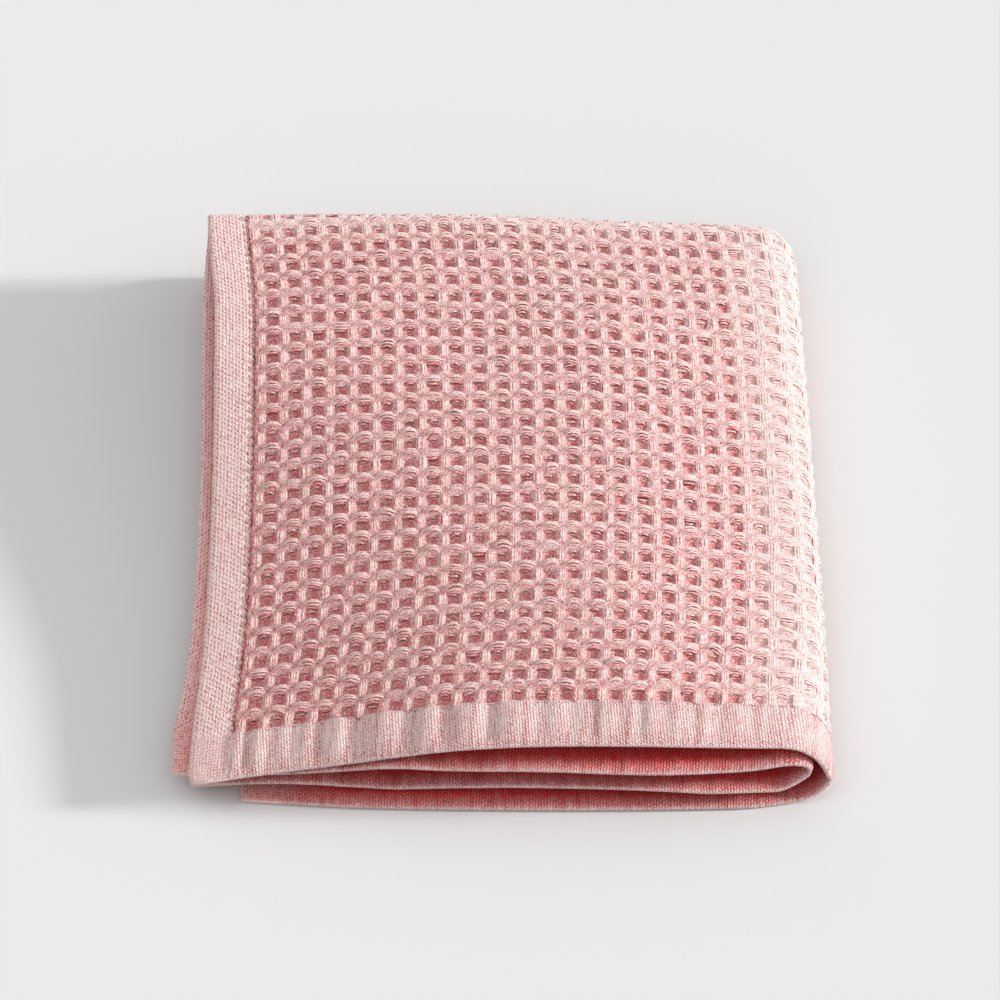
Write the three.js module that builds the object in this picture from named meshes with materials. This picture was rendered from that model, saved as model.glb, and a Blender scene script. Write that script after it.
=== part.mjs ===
// A hemmed waffle-weave washcloth folded in four: once about its back, then once about its right side.
// It is one closed sheet. Its four layers lie a little apart, and it rests on the bottom one.
// Millimetres. +X right, +Y back, +Z up. The origin is on the floor, at the middle of the outline.

import * as THREE from "three";

// The cloth laid flat, and its hems.
const SHEET_WIDE = 324;
const SHEET_LONG = 334;
const SIDE_HEM = 10.5;
const END_HEM = 12.5;
const HEM_STEP = 1.6;

// Thickness of the waffle weave, and of the hems pressed flat.
const BODY_THICK = 2.6;
const HEM_THICK = 1.8;

// The first fold turns about a line along X at the back, with a half round of this reach and half height.
const BACK_REACH = 4.6;
const BACK_HALF_HEIGHT = 4;
const BACK_TURN = halfRound(BACK_REACH, BACK_HALF_HEIGHT);

// The second fold turns about a line along Y at the right. The outer loop goes round the inner one.
const BEND_X = 69;
const OUTER_REACH = { front: 14, back: 11.4 };
const INNER_REACH = { front: 8.4, back: 6 };
const OUTER_HALF_HEIGHT = 8;
const INNER_HALF_HEIGHT = 3.5;
const HEIGHTS_END_X = BEND_X + 6;

// Towards the front edges the loops change shape. The outer one is creased low, to a point at its tip.
// The inner one leans outward at its top.
const FRONT_START = 0.78;
const OUTER_FRONT = { lowered: 0.5, pointed: 0.8, leaning: 0 };
const INNER_FRONT = { lowered: 0, pointed: 0.2, leaning: 0.4 };

// Cloth on a slope covers a little less ground than its length.
const SLACK = 0.984;

// Least distance between the middles of two layers, where nothing presses them closer.
const LAYER_PITCH = 3.2;

// The front of the stack gapes. The gaps even out from here to here, front to back.
const GAPE_START_Y = 48;
const GAPE_DEPTH = 110;

// Where the left edges lie. Along is 1 at the outer layers' front edge, 0 at the back and -1 at the inner front edge.
const UPPER_EDGE = {
  along: [-1, -0.93, -0.87, -0.8, -0.7, -0.5, -0.25, -0.1, 0, 0.08, 0.2, 0.5, 0.75, 0.9, 1],
  x: [-83.9, -84, -82.3, -81, -80.2, -79.9, -81.1, -81.7, -81, -79.6, -77.4, -76.2, -76.7, -78.6, -79.5],
};
const LOWER_EDGE = {
  along: [-1, 0, 1],
  x: [-79.5, -77, -66.75],
};

// Distance of the back crease from the outer front edge, measured on the cloth from the top's left edge across.
const CREASE = {
  share: [0, 0.1, 0.25, 0.38, 0.5, 0.56, 0.6, 0.75, 0.9, 1],
  length: [169.1, 167.1, 166, 165.7, 164.1, 164.8, 166.5, 168.2, 168.4, 167],
};

// How far the inner layers' front edge is drawn back from where the cloth's length would put it.
const DRAWN_BACK = {
  share: [0, 0.15, 0.3, 0.38, 0.44, 0.48, 0.52, 0.56, 0.6, 0.8, 0.9, 1],
  length: [0.5, 0.2, -0.8, -1.1, 0.9, 2.7, 5.5, 4.3, 1.7, 0.9, 0.85, 2.3],
};

// The line that each pair of layers turns about at the back.
const BACK_LINE = {
  x: [-79, 6, 76],
  upperY: [79, 79.6, 80],
  lowerY: [77.5, 76.1, 74.5],
};

// Height of the top layer's middle, in rows from front to back. The front left corner droops.
const TOP = {
  x: [-82, -44, -9, 31, 69],
  rows: [
    { y: -83, height: [9.8, 16, 23, 24, 20.4] },
    { y: -37, height: [13.5, 19.5, 24.5, 25, 17] },
    { y: 3, height: [19.5, 25, 27, 25.5, 17.5] },
    { y: 43, height: [27, 29, 28, 26, 19] },
    { y: 83, height: [29, 29, 28.5, 25, 21.2] },
  ],
};

// How the spare height is shared by the gaps under the top layer and under the second, at the back and at the front.
const BACK_GAPS = {
  x: [-64, 36, 68],
  first: [0.42, 0.42, 0.24],
  second: [0.12, 0.12, 0.52],
};
const FRONT_GAPS = {
  x: [-64, -32, -14, 6, 36, 60, 75],
  first: [0, 0, 0.3, 0.34, 0.4, 0.38, 0.12],
  second: [0.1, 0.96, 0.62, 0.48, 0.34, 0.4, 0.7],
};

// Grid lines of the faceted sheet, wider apart where it lies nearly flat.
const FLAT_STEPS_ACROSS = 9;
const FLAT_STEPS_ALONG = 10;
const BEND_LINES = { start: 140, end: 195, steps: 12 };
const CREASE_LINES = { start: 155, end: 178, steps: 10 };
const SLOPE_STEP = 0.25;
const FLOOR_SNAP = 1e-4;

const PINK = 0xdfaeaa;

function halfRound(reach, halfHeight) {
  return (Math.PI * Math.hypot(reach, halfHeight)) / Math.SQRT2;
}

function clamp(value, low, high) {
  return Math.min(Math.max(value, low), high);
}

function mix(a, b, share) {
  return a + (b - a) * share;
}

function smooth(share) {
  const u = clamp(share, 0, 1);
  return u * u * (3 - 2 * u);
}

// A smooth curve through values at places, level past both ends of the table.
function through(places, values, place) {
  const last = places.length - 1;
  const at = clamp(place, places[0], places[last]);
  let k = 0;
  while (k < last - 1 && at > places[k + 1]) k += 1;
  const slope = (j) => {
    const before = Math.max(j - 1, 0);
    const after = Math.min(j + 1, last);
    return (values[after] - values[before]) / (places[after] - places[before]);
  };
  const span = places[k + 1] - places[k];
  const u = (at - places[k]) / span;
  const rise = u * u * (3 - 2 * u);
  const leave = u * (1 - u) * (1 - u) * span * slope(k);
  const arrive = u * u * (u - 1) * span * slope(k + 1);
  return mix(values[k], values[k + 1], rise) + leave + arrive;
}

function topHeight(x, y) {
  const places = TOP.rows.map((row) => row.y);
  const heights = TOP.rows.map((row) => through(TOP.x, row.height, x));
  return through(places, heights, y);
}

// Heights of the middles of the four layers, from the top one down.
function layerHeights(x, y) {
  const bottom = BODY_THICK / 2;
  const top = topHeight(x, y);
  const pitch = Math.min(LAYER_PITCH, (top - bottom) / 3);
  const spare = Math.max(top - bottom - 3 * LAYER_PITCH, 0);
  const front = smooth((GAPE_START_Y - y) / GAPE_DEPTH);
  const share = (gap) => {
    const back = through(BACK_GAPS.x, BACK_GAPS[gap], x);
    return mix(back, through(FRONT_GAPS.x, FRONT_GAPS[gap], x), front);
  };
  const second = top - pitch - share("first") * spare;
  const third = second - pitch - share("second") * spare;
  return [top, second, third, bottom];
}

// The first fold at one point of the cloth: which layer of a pair it is in, and how far in front of the back line.
function firstFold(s, t) {
  const crease = through(CREASE.share, CREASE.length, s / SHEET_WIDE);
  const past = t - crease;
  const along = past < 0 ? -past / crease : -past / (SHEET_LONG - crease);
  const turn = (clamp((2 * past) / BACK_TURN, -1, 1) * Math.PI) / 2;
  const straight = Math.max(Math.abs(past) - BACK_TURN / 2, 0);
  const drawnBack = through(DRAWN_BACK.share, DRAWN_BACK.length, s / SHEET_WIDE) * Math.max(-along, 0);
  const behind = BACK_REACH * Math.cos(turn) - straight + drawnBack;
  return { along, outer: -Math.sin(turn), behind };
}

// The second fold: x, and which pair of layers the point is in, from 1 in the upper to -1 in the lower.
function secondFold(s, along, outer) {
  const fromBack = 1 - (1 - Math.abs(along)) ** 2;
  const outerReach = mix(OUTER_REACH.back, OUTER_REACH.front, fromBack);
  const innerReach = mix(INNER_REACH.back, INNER_REACH.front, fromBack);
  const reach = mix(innerReach, outerReach, (outer + 1) / 2);
  const halfHeight = mix(INNER_HALF_HEIGHT, OUTER_HALF_HEIGHT, (outer + 1) / 2);
  const bendLength = halfRound(reach, halfHeight);
  const upperEdge = through(UPPER_EDGE.along, UPPER_EDGE.x, along);
  const bendStart = (BEND_X - upperEdge) / SLACK;
  const bendEnd = bendStart + bendLength;
  const turn = clamp((s - bendStart) / bendLength, 0, 1) * Math.PI;
  const down = (1 - Math.cos(turn)) / 2;
  const front = smooth((Math.abs(along) - FRONT_START) / (1 - FRONT_START));
  const shape = (key) => front * mix(INNER_FRONT[key], OUTER_FRONT[key], (outer + 1) / 2);
  const ridge = 1 - Math.abs((2 * turn) / Math.PI - 1);
  const pointed = shape("pointed") * (outer > 0 ? down : 1 - down);
  const leaning = 1 + shape("leaning") * Math.cos(turn);
  let x = BEND_X + reach * mix(Math.sin(turn), ridge, pointed) * leaning;
  if (s < bendStart) x = mix(upperEdge, BEND_X, s / bendStart);
  if (s > bendEnd) {
    const lowerEdge = through(LOWER_EDGE.along, LOWER_EDGE.x, along);
    x = mix(BEND_X, lowerEdge, (s - bendEnd) / (SHEET_WIDE - bendEnd));
  }
  return { x, upper: 2 * (1 - down) ** (1 + shape("lowered")) - 1 };
}

// The middle surface of the folded cloth, for a point s across and t along the flat cloth.
function middle(s, t) {
  const { along, outer, behind } = firstFold(s, t);
  const { x, upper } = secondFold(s, along, outer);
  const lowerBack = through(BACK_LINE.x, BACK_LINE.lowerY, x);
  const upperBack = through(BACK_LINE.x, BACK_LINE.upperY, x);
  const y = mix(lowerBack, upperBack, (upper + 1) / 2) + behind;
  const [top, second, third, bottom] = layerHeights(Math.min(x, HEIGHTS_END_X), y);
  const upperZ = mix(second, top, (outer + 1) / 2);
  const lowerZ = mix(third, bottom, (outer + 1) / 2);
  const onFloor = ((1 + outer) / 2) * ((1 - upper) / 2);
  return { place: new THREE.Vector3(x, y, mix(lowerZ, upperZ, (upper + 1) / 2)), onFloor };
}

// The cloth's outward direction: up on the top layer and down on the bottom one.
function outward(s, t) {
  const step = (a, b, c, d) => middle(c, d).place.sub(middle(a, b).place);
  const across = step(Math.max(s - SLOPE_STEP, 0), t, Math.min(s + SLOPE_STEP, SHEET_WIDE), t);
  const back = step(s, Math.max(t - SLOPE_STEP, 0), s, Math.min(t + SLOPE_STEP, SHEET_LONG));
  return across.cross(back).normalize();
}

function thickness(s, t) {
  const sideways = Math.min(s, SHEET_WIDE - s) - SIDE_HEM;
  const endways = Math.min(t, SHEET_LONG - t) - END_HEM;
  return mix(HEM_THICK, BODY_THICK, smooth(Math.min(sideways, endways) / HEM_STEP + 0.5));
}

// The points on the two faces above and below one point of the middle. The bottom layer is flush with the floor.
function facePoints(s, t) {
  const { place, onFloor } = middle(s, t);
  const normal = outward(s, t);
  const thick = thickness(s, t);
  const out = mix(thick / 2, BODY_THICK / 2, onFloor);
  const outerPoint = place.clone().addScaledVector(normal, out);
  const innerPoint = place.clone().addScaledVector(normal, out - thick);
  if (Math.abs(outerPoint.z) < FLOOR_SNAP) outerPoint.z = 0;
  return [outerPoint, innerPoint];
}

function evenly(start, end, steps) {
  return Array.from({ length: steps + 1 }, (_, i) => mix(start, end, i / steps));
}

// Grid lines along one direction: two at each hem's inner edge, then even steps, closer together round the fold.
function gridLines(length, hem, fold, flatSteps) {
  const inner = hem + HEM_STEP / 2;
  const lines = [
    0,
    hem - HEM_STEP / 2,
    ...evenly(inner, fold.start, flatSteps),
    ...evenly(fold.start, fold.end, fold.steps).slice(1, -1),
    ...evenly(fold.end, length - inner, flatSteps),
    length - hem + HEM_STEP / 2,
    length,
  ];
  return lines;
}

// One closed sheet: an outer and an inner face on the same grid, joined by a strip round the rim.
function foldedSheet() {
  const across = gridLines(SHEET_WIDE, SIDE_HEM, BEND_LINES, FLAT_STEPS_ACROSS);
  const back = gridLines(SHEET_LONG, END_HEM, CREASE_LINES, FLAT_STEPS_ALONG);
  const columns = across.length;
  const rows = back.length;
  const faces = [[], []];
  for (const t of back) {
    for (const s of across) {
      const [outerPoint, innerPoint] = facePoints(s, t);
      faces[0].push(outerPoint);
      faces[1].push(innerPoint);
    }
  }
  const inner = (i) => i + columns * rows;
  const index = [];
  for (let j = 0; j + 1 < rows; j += 1) {
    for (let i = 0; i + 1 < columns; i += 1) {
      const a = j * columns + i;
      const b = a + 1;
      const c = b + columns;
      const d = a + columns;
      index.push(a, b, c, a, c, d);
      index.push(inner(a), inner(c), inner(b), inner(a), inner(d), inner(c));
    }
  }
  const rim = (a, b) => index.push(a, inner(a), inner(b), a, inner(b), b);
  const lastRow = (rows - 1) * columns;
  for (let i = 0; i + 1 < columns; i += 1) {
    rim(i, i + 1);
    rim(lastRow + i + 1, lastRow + i);
  }
  for (let j = 0; j + 1 < rows; j += 1) {
    rim((j + 1) * columns, j * columns);
    rim(j * columns + columns - 1, (j + 1) * columns + columns - 1);
  }
  const geometry = new THREE.BufferGeometry().setFromPoints([...faces[0], ...faces[1]]);
  geometry.setIndex(index);
  geometry.computeVertexNormals();
  return geometry;
}

// Puts the middle of the outline at the origin, and the underside on the floor.
function centred(geometry) {
  geometry.computeBoundingBox();
  const centre = geometry.boundingBox.getCenter(new THREE.Vector3());
  return geometry.translate(-centre.x, -centre.y, 0);
}

const cotton = new THREE.MeshStandardMaterial({
  color: PINK,
  roughness: 0.95,
  metalness: 0,
  side: THREE.DoubleSide,
});

const washcloth = new THREE.Mesh(centred(foldedSheet()), cotton);
washcloth.name = "washcloth";

const group = new THREE.Group();
group.add(washcloth);

export default group;
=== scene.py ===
import bpy
import numpy as np
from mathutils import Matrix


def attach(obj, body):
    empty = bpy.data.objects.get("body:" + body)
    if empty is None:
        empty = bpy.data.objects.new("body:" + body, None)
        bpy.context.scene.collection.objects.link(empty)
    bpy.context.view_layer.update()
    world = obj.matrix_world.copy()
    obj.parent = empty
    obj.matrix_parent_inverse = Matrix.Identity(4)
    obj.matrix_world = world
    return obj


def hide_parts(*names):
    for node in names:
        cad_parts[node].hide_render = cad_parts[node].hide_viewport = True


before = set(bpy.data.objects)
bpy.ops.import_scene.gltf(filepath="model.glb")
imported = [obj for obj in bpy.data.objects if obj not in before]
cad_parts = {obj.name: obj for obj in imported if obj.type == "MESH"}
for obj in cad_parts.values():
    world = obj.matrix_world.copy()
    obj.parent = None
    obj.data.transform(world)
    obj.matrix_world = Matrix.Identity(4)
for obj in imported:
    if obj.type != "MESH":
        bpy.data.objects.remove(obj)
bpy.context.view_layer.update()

MM = 0.001

# The cloth laid flat, its hems and its thickness.
SHEET_WIDE, SHEET_LONG = 324.0, 334.0
SIDE_HEM, END_HEM = 10.5, 12.5
BODY_THICK, HEM_THICK = 2.6, 1.8

# The first fold, about a line along X at the back, and the second, about a line along Y at the right.
BACK_REACH, BACK_HALF_HEIGHT = 4.6, 4.0
BEND_X = 69.0
OUTER_REACH = {"front": 14.0, "back": 11.4}
INNER_REACH = {"front": 8.4, "back": 6.0}
OUTER_HALF_HEIGHT, INNER_HALF_HEIGHT = 8.0, 3.5
HEIGHTS_END_X = BEND_X + 6
FRONT_START = 0.78
OUTER_FRONT = {"lowered": 0.5, "pointed": 0.8, "leaning": 0.0}
INNER_FRONT = {"lowered": 0.0, "pointed": 0.2, "leaning": 0.4}
SLACK = 0.984
LAYER_PITCH = 3.2
GAPE_START_Y, GAPE_DEPTH = 48.0, 110.0
OUTLINE_MIDDLE = np.array([0.088, 0.175, 0.0])

# The same tables as the solid's: left edges, back crease, inner edge, back lines, heights and gaps.
UPPER_EDGE = {
    "along": [-1, -0.93, -0.87, -0.8, -0.7, -0.5, -0.25, -0.1, 0, 0.08, 0.2, 0.5, 0.75, 0.9, 1],
    "x": [-83.9, -84, -82.3, -81, -80.2, -79.9, -81.1, -81.7, -81, -79.6, -77.4, -76.2, -76.7, -78.6, -79.5],
}
LOWER_EDGE = {"along": [-1, 0, 1], "x": [-79.5, -77, -66.75]}
CREASE = {
    "share": [0, 0.1, 0.25, 0.38, 0.5, 0.56, 0.6, 0.75, 0.9, 1],
    "length": [169.1, 167.1, 166, 165.7, 164.1, 164.8, 166.5, 168.2, 168.4, 167],
}
DRAWN_BACK = {
    "share": [0, 0.15, 0.3, 0.38, 0.44, 0.48, 0.52, 0.56, 0.6, 0.8, 0.9, 1],
    "length": [0.5, 0.2, -0.8, -1.1, 0.9, 2.7, 5.5, 4.3, 1.7, 0.9, 0.85, 2.3],
}
BACK_LINE = {
    "x": [-79, 6, 76],
    "upper": [79, 79.6, 80],
    "lower": [77.5, 76.1, 74.5],
}
TOP = {
    "x": [-82, -44, -9, 31, 69],
    "y": [-83, -37, 3, 43, 83],
    "rows": [
        [9.8, 16, 23, 24, 20.4],
        [13.5, 19.5, 24.5, 25, 17],
        [19.5, 25, 27, 25.5, 17.5],
        [27, 29, 28, 26, 19],
        [29, 29, 28.5, 25, 21.2],
    ],
}
BACK_GAPS = {"x": [-64, 36, 68], "first": [0.42, 0.42, 0.24], "second": [0.12, 0.12, 0.52]}
FRONT_GAPS = {
    "x": [-64, -32, -14, 6, 36, 60, 75],
    "first": [0, 0, 0.3, 0.34, 0.4, 0.38, 0.12],
    "second": [0.1, 0.96, 0.62, 0.48, 0.34, 0.4, 0.7],
}

# The weave's cells: pitch across and along, and the middle of one pit of the outer face.
CELL_WIDE, CELL_LONG = 6.184, 5.722
PIT_S, PIT_T = 83.81, 82.9

# Heights of the outer face's ground cloth out from the middle, and of the inner face's.
OUTER_RELIEF = {"pit": -0.4, "ridge": 0.85, "knot": 0.5}
INNER_RELIEF = {"pit": -0.1, "ridge": 1.15, "knot": 0.8}
# Share of a cell from a pit's middle to the foot and to the top of its wall.
WALL_FOOT, WALL_TOP = 0.22, 0.32
# How far the pit's painted shade climbs the wall that faces left, away from the light, as a share of a cell.
DEEP_SHIFT = 0.05
# A knot where walls cross: share of a cell from the pit's middle to its start, and its width.
KNOT_START, KNOT_WIDE = 0.3, 0.2

# Lines of the ground cloth's grid over a cell, in shares of it: many where it shows, few elsewhere.
MANY_LINES = [-0.5, -0.32, -0.22, 0.22, 0.32]
FEW_LINES = [-0.5, 0.0]
SHOWN_ACROSS, SHOWN_ALONG = 200.0, 180.0
# Lines of the grid over a hem, in shares of it.
HEM_LINES = [0, 0.03, 0.09, 0.2, 0.36, 0.6, 0.8, 0.93, 1]
# Cells to try on each side of the first pit, and how far the grid keeps from a hem and from its nearest line.
CELL_NUMBERS = np.arange(-60, 60)
HEM_MARGIN, LINES_APART = 0.7, 0.3
# An edge is rounded over a width, up to a share of it, which leaves the rim some height.
EDGE_ROUND, EDGE_SHARE = 0.9, 0.94
# Widths over which the weave's relief ends at a hem and the bottom layer steps down to its hems.
BODY_STEP, HEM_STEP_WIDE = 0.9, 1.6
# Grooves of the seams and the painted shade beside them: size, middle and width of a bell curve.
SIDE_GROOVE, END_GROOVE = (0.5, 0.0, 0.5), (0.3, 0.0, 0.5)
SIDE_SEAM_DEEP, END_SEAM_DEEP = (0.6, 0.8, 0.7), (0.5, 0.0, 0.5)
# Painted shade inside the folds, between the layers: its shares from the rim inwards, where each starts and
# the last one's width.
INSIDE_SHARES = {"rim": 0.1, "near": 0.24, "far": 0.66}
INSIDE_START, INSIDE_DEPTH = 0.9, 4.5
# A side edge's band with less of the painted fold shade is so many times as wide as an end edge's.
SIDE_BAND = 6.0
# Width over which the painted shade inside the folds starts round the back fold.
FOLD_WIDE = 10
# Step between the places whose difference gives the cloth's slope.
SLOPE_STEP = 0.25
# Radius of the top layer's corner, and of the other three.
TOP_CORNER, OTHER_CORNERS = 3.2, 0.9

# The floats over a cell's edge: place beside its line, half length, middle's and ends' height, bow, tone.
# Their tone is painted shade: deepest on the weft that dips into the pit and on the warp that faces away from
# the light.
WEFT_FLOATS = {
    "beside": [-1.75, -1.05, -0.35, 0.35],
    "half": [2.3, 2.8, 3.05, 2.9],
    "middle": [0.85, 1.1, 1.2, 1.05],
    "end": [0.2, 0.35, 0.4, 0.35],
    "bow": [1.0, 1.0, 0.95, 0.85],
    "tone": [1.3, 0.75, 0.35, 0.3],
}
WARP_FLOATS = {
    "beside": [-0.87, -0.29, 0.29, 0.87],
    "half": [2.2, 2.5, 2.5, 2.2],
    "middle": [1.0, 1.1, 1.05, 0.9],
    "end": [0.2, 0.3, 0.3, 0.2],
    "bow": [0.0, 0.0, 0.0, 0.0],
    "tone": [1.5, 0.3, 0.1, 0.2],
}
# The yarns on the far wall of each pit, whose deep tone is painted shade.
WALL_FLOATS = {
    "beside": [-2.3, -2.85],
    "half": [1.7, 1.5],
    "middle": [0.6, 0.15],
    "end": [-0.2, -0.35],
    "bow": [0.85, 0.7],
    "tone": [0.9, 1.5],
}
# Half the width of a yarn, and its height as a share of its width.
YARN_RADIUS, YARN_FLAT = 0.38, 0.75
# Painted shade at a yarn's ends, where it dips into the cloth: how much deeper they are than its middle.
TONE_AT_ENDS = 0.7
# Places along a float, and the share of its width that it has there.
FLOAT_STEPS = [-1.0, -0.74, -0.4, 0.0, 0.4, 0.74, 1.0]
FLOAT_SWELL = [0.0, 0.85, 1.0, 1.0, 1.0, 0.85, 0.0]
# Unevenness of a cell's floats together, of each alone, and the share of cells whose floats sag.
CELL_JITTER = {"bow": 0.24, "skew": 0.3, "beside": 0.12, "rise": 0.12}
OWN_JITTER = {
    "bow": 0.1,
    "skew": 0.14,
    "beside": 0.07,
    "rise": 0.1,
    "length": 0.05,
    "place": 0.1,
    "radius": 0.1,
    "tone": 0.15,
}
SAGGING, SAGGING_BOW = 0.06, 0.1
# Share of the uneven bow that straight floats have.
STRAIGHT_BOW = 0.45
# The floats keep clear of the hems.
FLOATS_CLEAR = 1.2
# Over a bend the cloth is drawn tight: the share of its relief that is left, how far its ridges drop,
# how much paler its floats are, and where that starts across and along, with the width of the change.
# The paler floats and lighter pits over the bends are less painted shade there, a painted highlight where the
# bends face the light.
TIGHT_RELIEF, TIGHT_DROP, TIGHT_PALER = 0.42, 0.1, 0.6
TIGHT_S, TIGHT_T = (138.0, 14.0), (154.0, 9.0)
# Where that ends again, past the bends.
LOOSE_S, LOOSE_T = (180.0, 12.0), (174.0, 8.0)
# Painted light: the top layer's colour is deeper at the front left, away from the light, and fades to paler
# at the right back over this width and length, with these shares, by this tone in all.
FADE_ACROSS, FADE_ALONG, FADE_TONE = 150.0, 165.0, 0.6
FADE_SHARES = (0.6, 0.4)

# Where a face and the rim lie on the bake map, and how much of its tile a yarn fills.
FACE_MAP, MAP_MARGIN = (0.485, 0.96), 0.005
RIM_MAP = {"start": 0.01, "length": 0.98, "low": 0.975, "high": 0.99}
TILE_FILL, TILE_MARGIN = 0.8, 0.1

rng = np.random.default_rng(11)


def mix(a, b, share):
    return a + (b - a) * share


def smooth(share):
    """A smooth step: 3u^2 - 2u^3 of the share held between 0 and 1."""
    u = np.clip(share, 0, 1)
    return u * u * (3 - 2 * u)


def half_round(reach, half_height):
    """Length of a half round: pi times the root of the mean square of its reach and half height."""
    return np.pi * np.hypot(reach, half_height) / np.sqrt(2)


def through(places, values, place):
    """A smooth curve through values at places, level past both ends. Values may be arrays, one a place."""
    places = np.asarray(places, float)
    values = np.asarray(values, float)
    last = len(places) - 1
    at = np.clip(place, places[0], places[-1])
    k = np.clip(np.searchsorted(places, at, side="right") - 1, 0, last - 1)
    before = np.maximum(np.arange(last + 1) - 1, 0)
    after = np.minimum(np.arange(last + 1) + 1, last)
    wide = (places[after] - places[before]).reshape((-1,) + (1,) * (values.ndim - 1))
    slope = (values[after] - values[before]) / wide
    if values.ndim == 1:
        pick = lambda table, j: table[j]
    else:
        pick = lambda table, j: np.take_along_axis(table, j[None], 0)[0]
    span = places[k + 1] - places[k]
    u = (at - places[k]) / span
    leave = u * (1 - u) ** 2 * span * pick(slope, k)
    arrive = u * u * (u - 1) * span * pick(slope, k + 1)
    return mix(pick(values, k), pick(values, k + 1), smooth(u)) + leave + arrive


def layer_heights(x, y):
    """Heights of the four layers' middles, top to bottom. The upper two gaps share the spare height."""
    bottom = BODY_THICK / 2
    top = through(TOP["y"], np.stack([through(TOP["x"], row, x) for row in TOP["rows"]]), y)
    pitch = np.minimum(LAYER_PITCH, (top - bottom) / 3)
    spare = np.maximum(top - bottom - 3 * LAYER_PITCH, 0)
    front = smooth((GAPE_START_Y - y) / GAPE_DEPTH)

    def share(gap):
        back = through(BACK_GAPS["x"], BACK_GAPS[gap], x)
        return mix(back, through(FRONT_GAPS["x"], FRONT_GAPS[gap], x), front)

    second = top - pitch - share("first") * spare
    third = second - pitch - share("second") * spare
    return top, second, third, bottom


def first_fold(s, t):
    """The back fold: t past the crease turns through a half round, from the outer layer to the inner one."""
    crease = through(CREASE["share"], CREASE["length"], s / SHEET_WIDE)
    past = t - crease
    back_turn = half_round(BACK_REACH, BACK_HALF_HEIGHT)
    along = np.where(past < 0, -past / crease, -past / (SHEET_LONG - crease))
    turn = np.clip(2 * past / back_turn, -1, 1) * np.pi / 2
    straight = np.maximum(np.abs(past) - back_turn / 2, 0)
    drawn_back = through(DRAWN_BACK["share"], DRAWN_BACK["length"], s / SHEET_WIDE) * np.maximum(-along, 0)
    return along, -np.sin(turn), BACK_REACH * np.cos(turn) - straight + drawn_back


def second_fold(s, along, outer):
    """The side fold, a half round as s goes on: x, and the pair of layers, 1 the upper and -1 the lower."""
    from_back = 1 - (1 - np.abs(along)) ** 2
    outer_reach = mix(OUTER_REACH["back"], OUTER_REACH["front"], from_back)
    inner_reach = mix(INNER_REACH["back"], INNER_REACH["front"], from_back)
    reach = mix(inner_reach, outer_reach, (outer + 1) / 2)
    half_height = mix(INNER_HALF_HEIGHT, OUTER_HALF_HEIGHT, (outer + 1) / 2)
    bend_length = half_round(reach, half_height)
    upper_edge = through(UPPER_EDGE["along"], UPPER_EDGE["x"], along)
    lower_edge = through(LOWER_EDGE["along"], LOWER_EDGE["x"], along)
    bend_start = (BEND_X - upper_edge) / SLACK
    bend_end = bend_start + bend_length
    turn = np.clip((s - bend_start) / bend_length, 0, 1) * np.pi
    down = (1 - np.cos(turn)) / 2
    front = smooth((np.abs(along) - FRONT_START) / (1 - FRONT_START))
    shape = {key: front * mix(INNER_FRONT[key], OUTER_FRONT[key], (outer + 1) / 2) for key in OUTER_FRONT}
    ridge = 1 - np.abs(2 * turn / np.pi - 1)
    pointed = shape["pointed"] * np.where(outer > 0, down, 1 - down)
    leaning = 1 + shape["leaning"] * np.cos(turn)
    x = BEND_X + reach * mix(np.sin(turn), ridge, pointed) * leaning
    x = np.where(s < bend_start, mix(upper_edge, BEND_X, s / bend_start), x)
    under = mix(BEND_X, lower_edge, (s - bend_end) / (SHEET_WIDE - bend_end))
    return np.where(s > bend_end, under, x), 2 * (1 - down) ** (1 + shape["lowered"]) - 1


def middle(s, t):
    """The middle of the folded cloth at s, t, and the share by which a point is in the bottom layer."""
    along, outer, behind = first_fold(s, t)
    x, upper = second_fold(s, along, outer)
    lower_back = through(BACK_LINE["x"], BACK_LINE["lower"], x)
    upper_back = through(BACK_LINE["x"], BACK_LINE["upper"], x)
    y = mix(lower_back, upper_back, (upper + 1) / 2) + behind
    top, second, third, bottom = layer_heights(np.minimum(x, HEIGHTS_END_X), y)
    upper_z = mix(second, top, (outer + 1) / 2)
    lower_z = mix(third, bottom, (outer + 1) / 2)
    z = mix(lower_z, upper_z, (upper + 1) / 2)
    on_floor = (1 + outer) / 2 * (1 - upper) / 2
    return np.stack([x, y, z], -1), on_floor


def outward(s, t):
    """The outer face's direction: the cross product of the middle's slopes across and along."""
    right, left = np.minimum(s + SLOPE_STEP, SHEET_WIDE), np.maximum(s - SLOPE_STEP, 0)
    behind, before = np.minimum(t + SLOPE_STEP, SHEET_LONG), np.maximum(t - SLOPE_STEP, 0)
    across = middle(right, t)[0] - middle(left, t)[0]
    back = middle(s, behind)[0] - middle(s, before)[0]
    normal = np.cross(across, back)
    return normal / np.linalg.norm(normal, axis=-1, keepdims=True)


def seam_distance(s, t):
    """How far a point is inside the hems' inner edges, or below 0 how far it is in the hems."""
    side = np.minimum(s, SHEET_WIDE - s) - SIDE_HEM
    end = np.minimum(t, SHEET_LONG - t) - END_HEM
    return side, end


def round_corners(s, t):
    """Draws the corners in: the share a of the way into a corner becomes a times the root of 1 - b^2 / 2."""
    radius = np.where((s < SHEET_WIDE / 2) & (t < SHEET_LONG / 2), TOP_CORNER, OTHER_CORNERS)
    a = np.clip(1 - np.minimum(s, SHEET_WIDE - s) / radius, 0, 1)
    b = np.clip(1 - np.minimum(t, SHEET_LONG - t) / radius, 0, 1)
    across = radius * a * (1 - np.sqrt(1 - b * b / 2))
    back = radius * b * (1 - np.sqrt(1 - a * a / 2))
    return s + np.where(s < SHEET_WIDE / 2, across, -across), t + np.where(t < SHEET_LONG / 2, back, -back)


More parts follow.
